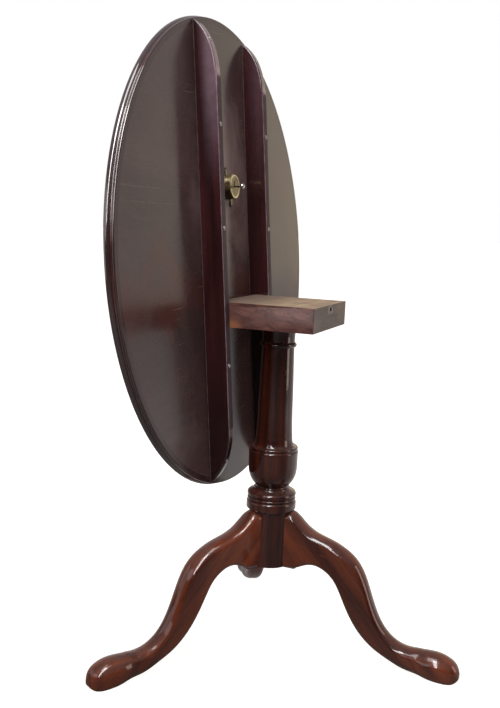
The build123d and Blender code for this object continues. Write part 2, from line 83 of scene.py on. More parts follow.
board_points = [board_place(vertex.co) for vertex in nodes["tabletop"].data.vertices]
board_under = min(point.z for point in board_points)
board_middle = (min(point.y for point in board_points) + max(point.y for point in board_points)) / 2
board_centre = hinge + up_board * board_middle
bearer_points = [board_place(vertex.co) for vertex in nodes["bearer_right"].data.vertices]
bearer_low = min(point.z for point in bearer_points)
block_low, block_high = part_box("block")
floor_place = {mount["name"]: Vector(mount["pos_m"]) for mount in frame["record"]["mounts"]}

# ---------------------------------------------------------------- sizes that follow from the making
moulding_width = 0.014  # moulded edge, in from the rim
polish_line = 0.0004  # above the underside, where the polish starts
drag_mark_heights = (0.097, 0.121)  # above the middle of the top
drag_mark_ends = (0.20, 0.435)  # out from the middle of the top
leg_slant = math.radians(48)  # grain of a leg, from level
same_point = 1e-6  # points this near are one point
same_plane = math.radians(0.5)  # faces this nearly flat are one face
wear_run = 0.005  # length of edge that wears alike
corner_slack = 0.0002  # how near an outer edge lies to the block's box
crease = math.radians(35)  # edges sharper than this stay sharp
head_taper = 0.8  # how far down its cone a screw's shank starts
nearly_upright = 0.9  # upward share of a direction, past which it counts as upright
screws = {  # node: body, head radius, shank radius
    "bearer_screws": ("top", 0.0045, 0.0022),
    "catch_screws": ("top", 0.0032, 0.0015),
    "strike_screws": ("stand", 0.0028, 0.0013),
    "plate_screws": ("stand", 0.0040, 0.0020),
}


# ---------------------------------------------------------------- sizes and colours to change
def colour(name, description, red, green, blue):
    """A colour setting."""
    return FloatVectorProperty(
        name=name,
        description=description,
        subtype="COLOR",
        size=3,
        min=0,
        max=1,
        default=(red, green, blue),
    )


def length(name, description, metres):
    """A length setting, in metres."""
    return FloatProperty(name=name, description=description, default=metres, unit="LENGTH", precision=4)


def share(name, description, value):
    """A setting from nothing to one."""
    return FloatProperty(name=name, description=description, default=value, min=0, max=1)


def power(name, description, watts):
    """A light's power."""
    return FloatProperty(name=name, description=description, default=watts, min=0, subtype="POWER")


def angle(name, description, degrees):
    """An angle setting."""
    return FloatProperty(name=name, description=description, default=math.radians(degrees), subtype="ANGLE")


class WoodSettings(bpy.types.PropertyGroup):
    """Colours and surface of the mahogany."""

    under_dark: colour("Underside dark", "Deep tone of the top's underside", 0.034, 0.020, 0.020)
    under_light: colour("Underside light", "Pale tone of the top's underside", 0.104, 0.063, 0.061)
    face_dark: colour("Face dark", "Deep tone of the polished face", 0.060, 0.012, 0.006)
    face_light: colour("Face light", "Pale tone of the polished face", 0.235, 0.062, 0.024)
    rim: colour("Rim", "Moulded edge of the top", 0.024, 0.010, 0.011)
    bearer_dark: colour("Bearer dark", "Deep tone of the bearers", 0.0135, 0.0042, 0.0044)
    bearer_light: colour("Bearer light", "Pale tone of the bearers", 0.062, 0.0145, 0.0155)
    column_dark: colour("Column dark", "Deep tone of the column", 0.014, 0.004, 0.003)
    column_light: colour("Column light", "Pale tone of the column", 0.112, 0.023, 0.012)
    leg_dark: colour("Leg dark", "Deep tone of the legs", 0.034, 0.007, 0.004)
    leg_light: colour("Leg light", "Pale tone of the legs", 0.260, 0.056, 0.018)
    block_dark: colour("Block dark", "Deep tone of the block's sides", 0.066, 0.018, 0.015)
    block_light: colour("Block light", "Pale tone of the block's sides", 0.240, 0.088, 0.064)
    raw_wood: colour("Raw wood", "Unpolished top of the block", 0.480, 0.340, 0.215)
    end_wood: colour("End wood", "Greyed end of the block", 0.150, 0.100, 0.075)
    gloss: share("Gloss roughness", "Roughness of the polished wood", 0.13)
    wear: share("Wear", "How far the polish has rubbed off the edges", 0.35)
    dust: share("Dust", "How much dust lies on what faces up", 0.12)
    worn_edge: length("Worn edge", "How far the block's edges are rounded", 0.0011)


class HardwareSettings(bpy.types.PropertyGroup):
    """Sizes and colours of the metalwork."""

    brass: colour("Brass", "Clean brass", 0.800, 0.700, 0.400)
    tarnish: colour("Tarnish", "Tarnished brass", 0.060, 0.050, 0.034)
    steel: colour("Steel", "Screw heads", 0.420, 0.390, 0.370)
    iron: colour("Iron", "Plate under the column", 0.060, 0.052, 0.048)
    rust: colour("Rust", "Rust on the iron", 0.130, 0.045, 0.018)
    knob: colour("Knob", "Plated knob", 0.560, 0.545, 0.530)
    slot_width: length("Slot width", "Width of a screw's slot", 0.0010)
    slot_depth: length("Slot depth", "Depth of a screw's slot", 0.0010)
    round_rise: length("Round head rise", "Rise of the bearer screws' heads", 0.0026)
    flush_rise: length("Flush head rise", "Rise of the other screws' heads", 0.0005)
    seed: IntProperty(name="Seed", description="Picks how each screw is turned", default=4)


class StudioSettings(bpy.types.PropertyGroup):
    """Camera and lights."""

    camera_place: FloatVectorProperty(
        name="Camera place",
        description="Where the camera stands",
        subtype="TRANSLATION",
        unit="LENGTH",
        default=(1.6432, 0.5749, 0.8483),
    )
    camera_azimuth: angle("Azimuth", "Turn of the camera round the table", 110.26)
    camera_dip: angle("Dip", "How far the camera looks down", 8.98)
    camera_roll: angle("Roll", "Lean of the camera", 2.495)
    lens: FloatProperty(name="Lens", description="Focal length in millimetres", default=45.31)
    shift_across: FloatProperty(name="Shift across", description="Lens shift", default=-0.0177)
    shift_up: FloatProperty(name="Shift up", description="Lens shift", default=0.0131)
    overhead: power("Overhead", "Light above the front of the table", 12)
    strip: power("Strip", "Long light under the ceiling, towards the camera", 85)
    window: power("Window", "Wide window on the polished side", 7)
    back_wall: power("Back wall", "Pale wall on the underside's side", 11)
    front: power("Front", "Soft light behind the camera", 10)
    backdrop: colour("Backdrop", "Pale wall behind the table", 0.56, 0.50, 0.50)
    bright_backdrop: colour("Bright backdrop", "Brightest part of the wall", 1.00, 0.86, 0.64)
    ceiling: colour("Ceiling", "Room above", 0.34, 0.34, 0.36)
    dark_side: colour("Dark side", "Room behind the camera", 0.055, 0.052, 0.060)


class TableSettings(bpy.types.PropertyGroup):
    """All the table's settings."""

    wood: PointerProperty(type=WoodSettings, name="Wood", description="Mahogany finishes")
    hardware: PointerProperty(type=HardwareSettings, name="Hardware", description="Metalwork")
    studio: PointerProperty(type=StudioSettings, name="Studio", description="Camera and lights")


# ---------------------------------------------------------------- building node trees
def add(tree, kind, inputs=(), **settings):
    """Add a node; an input given a socket is linked, and any other value is set."""
    node = tree.nodes.new(kind)
    for name, value in settings.items():
        setattr(node, name, value)
    for key, value in dict(inputs).items():
        if isinstance(value, bpy.types.NodeSocket):
            tree.links.new(value, node.inputs[key])
        else:
            node.inputs[key].default_value = value
    return node


def made(tree, kind, inputs=(), **settings):
    """Add a node and give its first output."""
    return add(tree, kind, inputs, **settings).outputs[0]


def maths(tree, operation, first, second=0.0, clamp=False):
    """One sum on numbers."""
    return made(tree, "ShaderNodeMath", {0: first, 1: second}, operation=operation, use_clamp=clamp)


def times(tree, first, second, clamp=False):
    """Two numbers multiplied."""
    return maths(tree, "MULTIPLY", first, second, clamp)


def plus(tree, first, second, clamp=False):
    """Two numbers added."""
    return maths(tree, "ADD", first, second, clamp)


def less(tree, first, second, clamp=False):
    """The second number taken from the first."""
    return maths(tree, "SUBTRACT", first, second, clamp)


def apart(tree, vector):
    """A vector's three parts, by the names X, Y and Z."""
    return add(tree, "ShaderNodeSeparateXYZ", {0: vector}).outputs


def scaled(tree, vector, factors):
    """A vector multiplied by a factor on each axis."""
    return made(tree, "ShaderNodeVectorMath", {0: vector, 1: factors}, operation="MULTIPLY")


def lengthened(tree, vector, factor):
    """A vector multiplied by one number."""
    return made(tree, "ShaderNodeVectorMath", {0: vector, "Scale": factor}, operation="SCALE")


def off_axis(tree, vector):
    """How far a point lies from the z axis."""
    flat = scaled(tree, vector, (1.0, 1.0, 0.0))
    return add(tree, "ShaderNodeVectorMath", {0: flat}, operation="LENGTH").outputs["Value"]


def ramp(tree, value, low, high, to_low=0.0, to_high=1.0):
    """A value spread smoothly from one range to another."""
    spread = {"Value": value, "From Min": low, "From Max": high, "To Min": to_low, "To Max": to_high}
    return made(tree, "ShaderNodeMapRange", spread, interpolation_type="SMOOTHSTEP")


def mixed(tree, factor, first, second, way="MIX"):
    """Two colours mixed."""
    mix = add(tree, "ShaderNodeMix", {0: factor, 6: first, 7: second}, data_type="RGBA", blend_type=way)
    return mix.outputs[2]


def cloud(tree, vector, scale, detail=3.0, rough=0.55, twist=0.0):
    """Noise from 0 to 1."""
    settings = {"Vector": vector, "Scale": scale, "Detail": detail, "Roughness": rough, "Distortion": twist}
    return made(tree, "ShaderNodeTexNoise", settings)


def toned(rgb, factor):
    """A colour made darker or paler."""
    return [factor * part for part in rgb]


def opaque(rgb):
    """A colour with full alpha."""
    return (rgb[0], rgb[1], rgb[2], 1.0)


def new_group(name, inputs, outputs):
    """A shader group with its sockets, each given as a name, a kind and a first value."""
    tree = bpy.data.node_groups.new(name, "ShaderNodeTree")
    for label, kind, value in inputs:
        socket = tree.interface.new_socket(label, in_out="INPUT", socket_type=kind)
        if value is not None:
            socket.default_value = value
    for label, kind in outputs:
        tree.interface.new_socket(label, in_out="OUTPUT", socket_type=kind)
    return tree, add(tree, "NodeGroupInput").outputs, add(tree, "NodeGroupOutput").inputs


def finish_group(tree, sockets, results):
    """Link a group's results to its output sockets."""
    for label, result in results.items():
        tree.links.new(result, sockets[label])


NUMBER = "NodeSocketFloat"
COLOUR = "NodeSocketColor"
VECTOR = "NodeSocketVector"


# ---------------------------------------------------------------- shared effects
def mahogany_group():
    """Mahogany figure; the grain runs along x, and sizes are in metres."""
    tree, given, out = new_group(
        "mahogany_figure",
        [
            ("Vector", VECTOR, None),
            ("Dark", COLOUR, (0.03, 0.01, 0.01, 1)),
            ("Light", COLOUR, (0.2, 0.06, 0.03, 1)),
            ("Band", NUMBER, 0.03),
            ("Waviness", NUMBER, 1.2),
            ("Stripe", NUMBER, 0.5),
            ("Rings", NUMBER, 0.1),
        ],
        [("Color", COLOUR), ("Height", NUMBER)],
    )
    per_band = maths(tree, "DIVIDE", 1.0, given["Band"])
    sized = lengthened(tree, given["Vector"], per_band)
    drift = cloud(tree, scaled(tree, given["Vector"], (1.6, 5.0, 5.0)), 1.0, 2.0)
    push = made(tree, "ShaderNodeCombineXYZ", {"Y": times(tree, drift, given["Waviness"])})
    bent = made(tree, "ShaderNodeVectorMath", {0: sized, 1: push}, operation="ADD")
    long = scaled(tree, bent, (0.07, 1.0, 1.0))
    bands = cloud(tree, long, 1.1, 4.0, 0.6, 0.4)
    wave = {"Vector": long, "Scale": 0.9, "Distortion": 5.5, "Detail": 3.0, "Detail Scale": 0.8}
    rings = add(tree, "ShaderNodeTexWave", wave, wave_type="BANDS", bands_direction="Y").outputs[1]
    streak = cloud(tree, scaled(tree, given["Vector"], (5.0, 210.0, 210.0)), 1.0, 3.0, 0.7)
    pore_noise = cloud(tree, scaled(tree, given["Vector"], (42.0, 1500.0, 1500.0)), 1.0, 1.0, 0.5)
    pores = ramp(tree, pore_noise, 0.62, 0.70)
    ringed = times(tree, rings, given["Rings"])
    figure = plus(tree, times(tree, bands, 0.8), ringed)
    figure = ramp(tree, figure, 0.22, 0.78)
    blend = less(tree, streak, 0.5)
    blend = times(tree, blend, given["Stripe"])
    figure = plus(tree, figure, blend, clamp=True)
    base = mixed(tree, figure, given["Dark"], given["Light"])
    dark_pore = mixed(tree, times(tree, pores, 0.55), base, given["Dark"], "MULTIPLY")
    height = less(tree, times(tree, streak, 0.5), times(tree, pores, 0.6))
    finish_group(tree, out, {"Color": dark_pore, "Height": height})


def wear_group():
    """Patches where polish has rubbed through, strongest where the given edge value is high."""
    tree, given, out = new_group(
        "rubbed_wear",
        [("Vector", VECTOR, None), ("Edge", NUMBER, 0.0), ("Amount", NUMBER, 0.4), ("Size", NUMBER, 60.0)],
        [("Mask", NUMBER), ("Height", NUMBER)],
    )
    spots = cloud(tree, given["Vector"], given["Size"], 5.0, 0.65)
    reach = times(tree, given["Edge"], given["Amount"])
    level = plus(tree, spots, times(tree, reach, 0.45))
    mask = ramp(tree, level, 0.70, 0.86)
    finish_group(tree, out, {"Mask": mask, "Height": times(tree, mask, -0.4)})


def dust_group():
    """Dust on what faces up at rest, thicker in patches."""
    tree, given, out = new_group(
        "settled_dust",
        [("Vector", VECTOR, None), ("Normal", VECTOR, None), ("Amount", NUMBER, 0.2)],
        [("Mask", NUMBER)],
    )
    up = apart(tree, given["Normal"])["Z"]
    patches = cloud(tree, given["Vector"], 35.0, 4.0, 0.7)
    facing = ramp(tree, up, 0.35, 0.95)
    mask = times(tree, facing, ramp(tree, patches, 0.3, 0.75, 0.35, 1.0))
    finish_group(tree, out, {"Mask": times(tree, mask, given["Amount"], clamp=True)})


def scratch_group():
    """Fine scratches in three directions, in patches, and broad smudges."""
    tree, given, out = new_group(
        "scratches_and_smudges",
        [("Vector", VECTOR, None), ("Amount", NUMBER, 0.5)],
        [("Scratches", NUMBER), ("Smudges", NUMBER), ("Height", NUMBER)],
    )
    marks = []
    for turn, across, seed in ((0.08, 420.0, 0.0), (1.9, 520.0, 3.7), (0.75, 640.0, 9.2)):
        placing = {"Vector": given["Vector"], "Location": (seed, seed, 0.0), "Rotation": (0.0, 0.0, turn)}
        placed = made(tree, "ShaderNodeMapping", placing)
        line = cloud(tree, scaled(tree, placed, (9.0, across, across * 0.3)), 1.0, 1.0, 0.5)
        patch = cloud(tree, placed, 11.0, 2.0)
        marks.append(times(tree, ramp(tree, line, 0.715, 0.745), ramp(tree, patch, 0.50, 0.66)))
    both = plus(tree, marks[0], marks[1], clamp=True)
    every = plus(tree, both, marks[2], clamp=True)
    scratches = times(tree, every, given["Amount"])
    smudges = cloud(tree, given["Vector"], 7.5, 5.0, 0.62, 0.6)
    results = {"Scratches": scratches, "Smudges": smudges, "Height": times(tree, scratches, -1.0)}
    finish_group(tree, out, results)


# ---------------------------------------------------------------- materials
class Finish:
    """A material under way: its tree, its shader, and the object's own coordinates."""

    def __init__(self, name, turn=(0, 0, 0), place=(0, 0, 0)):
        self.material = bpy.data.materials.new(name)
        self.material.use_nodes = True
        self.tree = self.material.node_tree
        self.shader = self.tree.nodes["Principled BSDF"]
        coordinates = add(self.tree, "ShaderNodeTexCoord")
        self.raw = coordinates.outputs["Object"]
        self.normal = coordinates.outputs["Normal"]
        placing = {"Vector": self.raw, "Location": tuple(place), "Rotation": tuple(turn)}
        self.vector = made(self.tree, "ShaderNodeMapping", placing, vector_type="TEXTURE")

    def group(self, name, **inputs):
        """Place a shared effect, with its inputs by name."""
        return add(self.tree, "ShaderNodeGroup", inputs, node_tree=bpy.data.node_groups[name]).outputs

    def figure(self, vector, dark, light, band, waviness, stripe, rings):
        """Place the mahogany figure between two colours."""
        sizes = {"Band": band, "Waviness": waviness, "Stripe": stripe, "Rings": rings}
        return self.group("mahogany_figure", Vector=vector, Dark=opaque(dark), Light=opaque(light), **sizes)

    def parts(self):
        """The three coordinates, one by one."""
        return apart(self.tree, self.vector)

    def plug(self, colour_socket, roughness, height, bump, distance=0.0006):
        """Join the results to the shader."""
        links = self.tree.links
        links.new(colour_socket, self.shader.inputs["Base Color"])
        links.new(roughness, self.shader.inputs["Roughness"])
        raised = made(self.tree, "ShaderNodeBump", {"Height": height, "Strength": bump, "Distance": distance})
        links.new(raised, self.shader.inputs["Normal"])
        return self.material


def raw_wood_colour(finish):
    """Unpolished wood with grimy patches, darker towards the hinge end, with its grain along the block."""
    wood = bpy.context.scene.table.wood
    tree = finish.tree
    raw = finish.figure(finish.raw, toned(wood.raw_wood, 0.55), wood.raw_wood, 0.022, 1.5, 0.6, 0.2)
    grime = ramp(tree, cloud(tree, finish.raw, 22.0, 5.0, 0.65), 0.42, 0.72)
    grimy = mixed(tree, times(tree, grime, 0.55), raw["Color"], (0.16, 0.10, 0.075, 1))
    along = apart(tree, finish.raw)["Y"]
    # darker towards the hinge end, next to the tipped top
    hinge_end = ramp(tree, along, block_high.y - 0.05, block_low.y + 0.03)
    return mixed(tree, times(tree, hinge_end, 0.85), grimy, (0.115, 0.075, 0.060, 1))


def polished_wood(name, dark, light, turn, place, band, stripe, extra=None, raw_end=None):
    """French-polished mahogany with rubbed edges, smudges and a little dust."""
    wood = bpy.context.scene.table.wood
    finish = Finish(name, turn, place)
    tree = finish.tree
    grain = finish.figure(finish.vector, dark, light, band, 1.4, stripe, 0.10)
    wear = finish.group("rubbed_wear", Vector=finish.vector, Edge=0.0, Amount=wood.wear, Size=75.0)
    marks = finish.group("scratches_and_smudges", Vector=finish.vector, Amount=0.35)
    dust = finish.group("settled_dust", Vector=finish.vector, Normal=finish.normal, Amount=wood.dust)
    rubbed = opaque(toned(light, 1.9))
    tone = mixed(tree, times(tree, wear["Mask"], 0.6), grain["Color"], rubbed)
    tone = mixed(tree, times(tree, marks["Scratches"], 0.4), tone, rubbed)
    tone = mixed(tree, times(tree, dust["Mask"], 0.5), tone, (0.36, 0.32, 0.28, 1))
    rough = ramp(tree, marks["Smudges"], 0.3, 0.75, wood.gloss * 0.75, wood.gloss * 1.9)
    rough = plus(tree, rough, times(tree, wear["Mask"], 0.25))
    rough = plus(tree, rough, times(tree, dust["Mask"], 0.5), clamp=True)
    height = plus(tree, times(tree, grain["Height"], 0.35), wear["Height"])
    height = plus(tree, height, times(tree, marks["Height"], 0.5))
    finish.shader.inputs["Coat Roughness"].default_value = 0.05
    finish.shader.inputs["Coat IOR"].default_value = 1.7
    finish.shader.inputs["Specular IOR Level"].default_value = 0.2
    coat = less(tree, 0.55, times(tree, wear["Mask"], 0.4), clamp=True)
    if extra:
        tone, rough, coat = extra(finish, tone, rough, coat)
    if raw_end:
        cut = raw_end(finish)
        tone = mixed(tree, cut, tone, raw_wood_colour(finish))
        rough = plus(tree, rough, times(tree, cut, 0.5), clamp=True)
        coat = less(tree, coat, cut, clamp=True)
    tree.links.new(coat, finish.shader.inputs["Coat Weight"])
    return finish.plug(tone, rough, height, 0.25)


def drag_mark(finish, parts, height):
    """A long shallow scratch across one side of the underside."""
    tree = finish.tree
    wander = times(tree, cloud(tree, finish.vector, 9.0, 2.0), 0.005)
    off_line = maths(tree, "ABSOLUTE", less(tree, plus(tree, parts["Y"], wander), height))
    line = ramp(tree, off_line, 0.0011, 0.0003)
    inner, outer = drag_mark_ends
    fading_in = ramp(tree, parts["X"], inner, inner + 0.07)
    reach = times(tree, fading_in, ramp(tree, parts["X"], outer, outer - 0.025))
    broken = ramp(tree, cloud(tree, finish.vector, 38.0, 2.0), 0.35, 0.6)
    return times(tree, times(tree, line, reach), times(tree, broken, 0.22))


def board_wood():
    """The top: a satin underside, and a polished face and moulded edge."""
    wood = bpy.context.scene.table.wood
    finish = Finish("board_mahogany", board_turn, board_centre)
    tree = finish.tree
    parts = finish.parts()
    polished = ramp(tree, parts["Z"], board_under + polish_line, board_under + 3 * polish_line)
    under = finish.figure(finish.vector, wood.under_dark, wood.under_light, 0.30, 1.0, 0.12, 0.0)
    face = finish.figure(finish.vector, wood.face_dark, wood.face_light, 0.070, 3.0, 0.24, 0.11)
    radius = off_axis(tree, finish.vector)
    rim = ramp(tree, radius, board_radius - moulding_width, board_radius - 0.001)
    # mask for painted shade in a band on the underside next to the rim
    painted_bevel_shade = ramp(tree, radius, board_radius - 0.0155, board_radius - 0.0130)
    deep_rim = mixed(tree, times(tree, rim, 0.93), face["Color"], opaque(wood.rim))
    marks = finish.group("scratches_and_smudges", Vector=finish.vector, Amount=0.9)
    wear = finish.group("rubbed_wear", Vector=finish.vector, Edge=rim, Amount=wood.wear * 0.8, Size=60.0)
    red_patches = cloud(tree, finish.vector, 6.0, 4.0, 0.6, 0.8)
    by_hinge = ramp(tree, maths(tree, "ABSOLUTE", plus(tree, parts["Y"], board_middle - 0.02)), 0.10, 0.02)
    patchy = ramp(tree, plus(tree, red_patches, times(tree, by_hinge, 0.16)), 0.54, 0.76)
    stained = mixed(tree, times(tree, patchy, 0.7), under["Color"], (0.075, 0.020, 0.014, 1))
    catch = board_place(sum(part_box("catch_case"), Vector()) / 2) - Vector((0, board_middle, 0))
    to_catch = {0: finish.vector, 1: tuple(catch)}
    near = add(tree, "ShaderNodeVectorMath", to_catch, operation="DISTANCE").outputs["Value"]
    # paler towards the catch, in the smudged patches
    paler_near_catch = times(tree, ramp(tree, near, 0.24, 0.04), ramp(tree, marks["Smudges"], 0.25, 0.6))
    pale_patch = times(tree, ramp(tree, marks["Smudges"], 0.45, 0.75), 0.14)
    stained = mixed(tree, pale_patch, stained, (0.150, 0.110, 0.100, 1))
    stained = mixed(tree, times(tree, paler_near_catch, 0.8), stained, (0.225, 0.165, 0.160, 1))
    for height in drag_mark_heights:
        stained = mixed(tree, drag_mark(finish, parts, height), stained, (0.27, 0.20, 0.18, 1))
    stained = mixed(tree, times(tree, marks["Scratches"], 0.35), stained, (0.26, 0.17, 0.14, 1))
    shown = mixed(tree, times(tree, wear["Mask"], 0.35), deep_rim, (0.15, 0.07, 0.06, 1))
    # painted shade: a dark band on the underside next to the rim, in place of a wider bevel under the bead
    stained = mixed(tree, times(tree, painted_bevel_shade, 0.85), stained, opaque(toned(wood.rim, 1.3)))
    tone = mixed(tree, polished, stained, shown)
    smooth = ramp(tree, marks["Smudges"], 0.3, 0.75, wood.gloss * 0.6, wood.gloss * 1.5)
    satin = ramp(tree, marks["Smudges"], 0.3, 0.75, 0.15, 0.24)
    rough = plus(tree, times(tree, smooth, polished), satin)
    rough = less(tree, rough, times(tree, satin, polished))
    height = plus(tree, times(tree, under["Height"], 0.3), marks["Height"])
    tree.links.new(polished, finish.shader.inputs["Coat Weight"])
    finish.shader.inputs["Coat Roughness"].default_value = 0.06
    finish.shader.inputs["Coat IOR"].default_value = 1.9
    return finish.plug(tone, rough, height, 0.16)


def block_wood():
    """The block: raw above, stained at the sides, greyed at the strike end."""
    wood = bpy.context.scene.table.wood
    finish = Finish("block_mahogany", (0, 0, 0), (block_low.x, 0, block_low.z))
    tree = finish.tree
    tipped = {"Vector": finish.vector, "Rotation": (0.2, 0.35, math.radians(-80))}
    slanted = made(tree, "ShaderNodeMapping", tipped)
    side = finish.figure(slanted, wood.block_dark, wood.block_light, 0.022, 2.0, 0.45, 0.05)
    end = finish.figure(finish.vector, toned(wood.end_wood, 0.6), wood.end_wood, 0.014, 0.8, 0.7, 0.15)
    facing = apart(tree, finish.normal)
    above = ramp(tree, facing["Z"], 0.55, 0.8)
    beneath = ramp(tree, facing["Z"], -0.55, -0.8)
    strike_end = ramp(tree, facing["Y"], 0.55, 0.8)
    stretched = scaled(tree, slanted, (0.35, 1.0, 1.0))
    blotches = ramp(tree, cloud(tree, stretched, 75.0, 5.0, 0.7, 1.2), 0.44, 0.70)
    dark_patch = opaque(toned(wood.block_dark, 0.5))
    patched = mixed(tree, times(tree, blotches, 0.8), side["Color"], dark_patch)
    parts = apart(tree, finish.raw)
    low_down = ramp(tree, parts["Z"], block_low.z + 0.026, block_low.z + 0.004)
    hinge_end = ramp(tree, parts["Y"], block_low.y + 0.075, block_low.y + 0.045)
    bare_corner = times(tree, low_down, hinge_end)
    patched = mixed(tree, times(tree, bare_corner, 0.55), patched, (0.42, 0.16, 0.06, 1))
    tone = mixed(tree, strike_end, patched, end["Color"])
    raw_faces = plus(tree, above, beneath, clamp=True)
    tone = mixed(tree, raw_faces, tone, raw_wood_colour(finish))
    marks = finish.group("scratches_and_smudges", Vector=finish.vector, Amount=0.8)
    tone = mixed(tree, times(tree, marks["Scratches"], 0.5), tone, (0.33, 0.20, 0.15, 1))
    rough = ramp(tree, marks["Smudges"], 0.3, 0.75, 0.36, 0.52)
    rough = plus(tree, rough, times(tree, raw_faces, 0.3), clamp=True)
    height = plus(tree, times(tree, side["Height"], 0.8), marks["Height"])
    return finish.plug(tone, rough, height, 0.35)


def metal(name, clean, stained, roughness, stain_low, stain_high, bump=0.12, metallic=1.0, scale=140.0):
    """Metal with stains, fine scratches and uneven polish."""
    finish = Finish(name)
    tree = finish.tree
    blotch = ramp(tree, cloud(tree, finish.vector, scale, 5.0, 0.65), stain_low, stain_high)
    finer = scaled(tree, finish.vector, (4.0, 4.0, 4.0))
    marks = finish.group("scratches_and_smudges", Vector=finer, Amount=0.6)
    tone = mixed(tree, blotch, opaque(clean), opaque(stained))
    rough = plus(tree, times(tree, blotch, 0.3), roughness, clamp=True)
    rough = plus(tree, rough, times(tree, marks["Scratches"], 0.2), clamp=True)
    solid = less(tree, metallic, times(tree, blotch, 0.35), clamp=True)
    tree.links.new(solid, finish.shader.inputs["Metallic"])
    fine = cloud(tree, finish.vector, scale * 5, 3.0)
    height = plus(tree, times(tree, fine, 0.4), marks["Height"])
    return finish.plug(tone, rough, height, bump, 0.0003)


def case_brass():
    """Brass of the catch's case: bright on its rim, darkened in the sunk middle of its face, and blackened below
    by painted shade.
    """
    ware = bpy.context.scene.table.hardware
    low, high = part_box("catch_case")
    finish = Finish("case_brass", board_turn, (low + high) / 2)
    tree = finish.tree
    radius = off_axis(tree, finish.vector)
    case_radius = (high.x - low.x) / 2
    sunk = ramp(tree, radius, case_radius * 0.86, case_radius * 0.70)
    grime = ramp(tree, cloud(tree, finish.vector, 160.0, 5.0, 0.65), 0.40, 0.72)
    # painted shade: what faces down is blackened
    down = apart(tree, finish.normal)["Z"]
    beneath = ramp(tree, down, 0.10, -0.45)
    tarnish_and_painted_shade = plus(tree, times(tree, sunk, 0.62), times(tree, grime, 0.22), clamp=True)
    tarnish_and_painted_shade = maths(tree, "MAXIMUM", tarnish_and_painted_shade, times(tree, beneath, 0.97))
    tone = mixed(tree, tarnish_and_painted_shade, opaque(ware.brass), opaque(ware.tarnish))
    rough = plus(tree, times(tree, tarnish_and_painted_shade, 0.28), 0.22)
    finish.shader.inputs["Metallic"].default_value = 1.0
    return finish.plug(tone, rough, cloud(tree, finish.vector, 700.0, 3.0), 0.08, 0.0002)


def dress(material, *names):
    """Give CAD nodes a material."""
    for name in names:
        mesh = nodes[name].data
        mesh.materials.clear()
        mesh.materials.append(material)


def tenon_end(finish):
    """High on what is cut level with the block's top."""
    height = apart(finish.tree, finish.raw)["Z"]
    return ramp(finish.tree, height, block_high.z - 0.0012, block_high.z - 0.0004)


def bearer_painted_light(finish, tone, rough, coat):
    """Painted highlights along the lower arris and the joint, painted shade on the lower face, which is also
    duller, and on the lower end, and a painted lilac sheen towards the top end.
    """
    tree = finish.tree
    parts = finish.parts()
    grain = cloud(tree, finish.vector, 55.0, 4.0, 0.6)
    # painted highlights: pale lines along the lower arris and, fainter, along the joint with the top
    painted_arris_highlight = ramp(tree, parts["Z"], bearer_low + 0.0024, bearer_low + 0.0008)
    lower = ramp(tree, parts["Z"], bearer_low + 0.0009, bearer_low + 0.0003)
    joint = ramp(tree, parts["Z"], board_under - 0.0014, board_under - 0.0006)
    painted_highlight_lines = maths(tree, "MAXIMUM", painted_arris_highlight, times(tree, joint, 0.3))
    painted_highlight_lines = times(tree, painted_highlight_lines, ramp(tree, grain, 0.25, 0.6, 0.25, 0.7))
    # painted sheen: a pale lilac patch towards the top end, away from the top's underside, stronger on the nearer
    # bearer
    upper_end = ramp(tree, parts["X"], board_middle + 0.10, board_middle + 0.36)
    outer = ramp(tree, parts["Z"], board_under - 0.004, bearer_low + 0.010)
    pale_patch = times(tree, upper_end, outer)
    pale_patch = times(tree, pale_patch, ramp(tree, grain, 0.2, 0.7, 0.45, 0.75))
    across = apart(tree, finish.raw)["X"]
    pale_patch = times(tree, pale_patch, ramp(tree, across, -0.1, 0.1, 0.35, 1.2), clamp=True)
    # painted shade: the lower end darkened nearly to black
    painted_shade_low_end = times(tree, ramp(tree, parts["X"], board_middle + 0.02, board_middle - 0.38), 0.65)
    tone = mixed(tree, painted_shade_low_end, tone, (0.007, 0.003, 0.003, 1))
    tone = mixed(tree, pale_patch, tone, (0.20, 0.125, 0.155, 1))
    tone = mixed(tree, painted_highlight_lines, tone, (0.34, 0.25, 0.28, 1))
    # painted shade: the lower face darkened in colour, besides being made rougher and uncoated
    tone = mixed(tree, times(tree, lower, 0.9), tone, (0.036, 0.020, 0.024, 1))
    rough = plus(tree, rough, times(tree, lower, 0.42), clamp=True)
    coat = less(tree, coat, lower, clamp=True)
    return tone, rough, coat


# ---------------------------------------------------------------- pieces
def merged_copy(node, name):
    """A new object with a CAD node's shape, its loose triangles joined up."""
    mesh = nodes[node].data.copy()
    mesh.name = name
    mesh.materials.clear()
    piece = bpy.data.objects.new(name, mesh)
    bpy.context.scene.collection.objects.link(piece)
    shape = bmesh.new()
    shape.from_mesh(mesh)
    bmesh.ops.remove_doubles(shape, verts=shape.verts, dist=same_point)
    bmesh.ops.dissolve_limit(shape, angle_limit=same_plane, verts=shape.verts, edges=shape.edges)
    shape.to_mesh(mesh)
    shape.free()
    return piece


def applied(piece):
    """Swap a piece's mesh for the result of its modifiers, and remove them."""
    evaluated = piece.evaluated_get(bpy.context.evaluated_depsgraph_get())
    mesh = bpy.data.meshes.new_from_object(evaluated)
    piece.modifiers.clear()
    piece.data = mesh


def stand_for(piece, node, body):
    """Let a piece ride a body in place of a CAD node."""
    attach(piece, body)
    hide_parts(node)


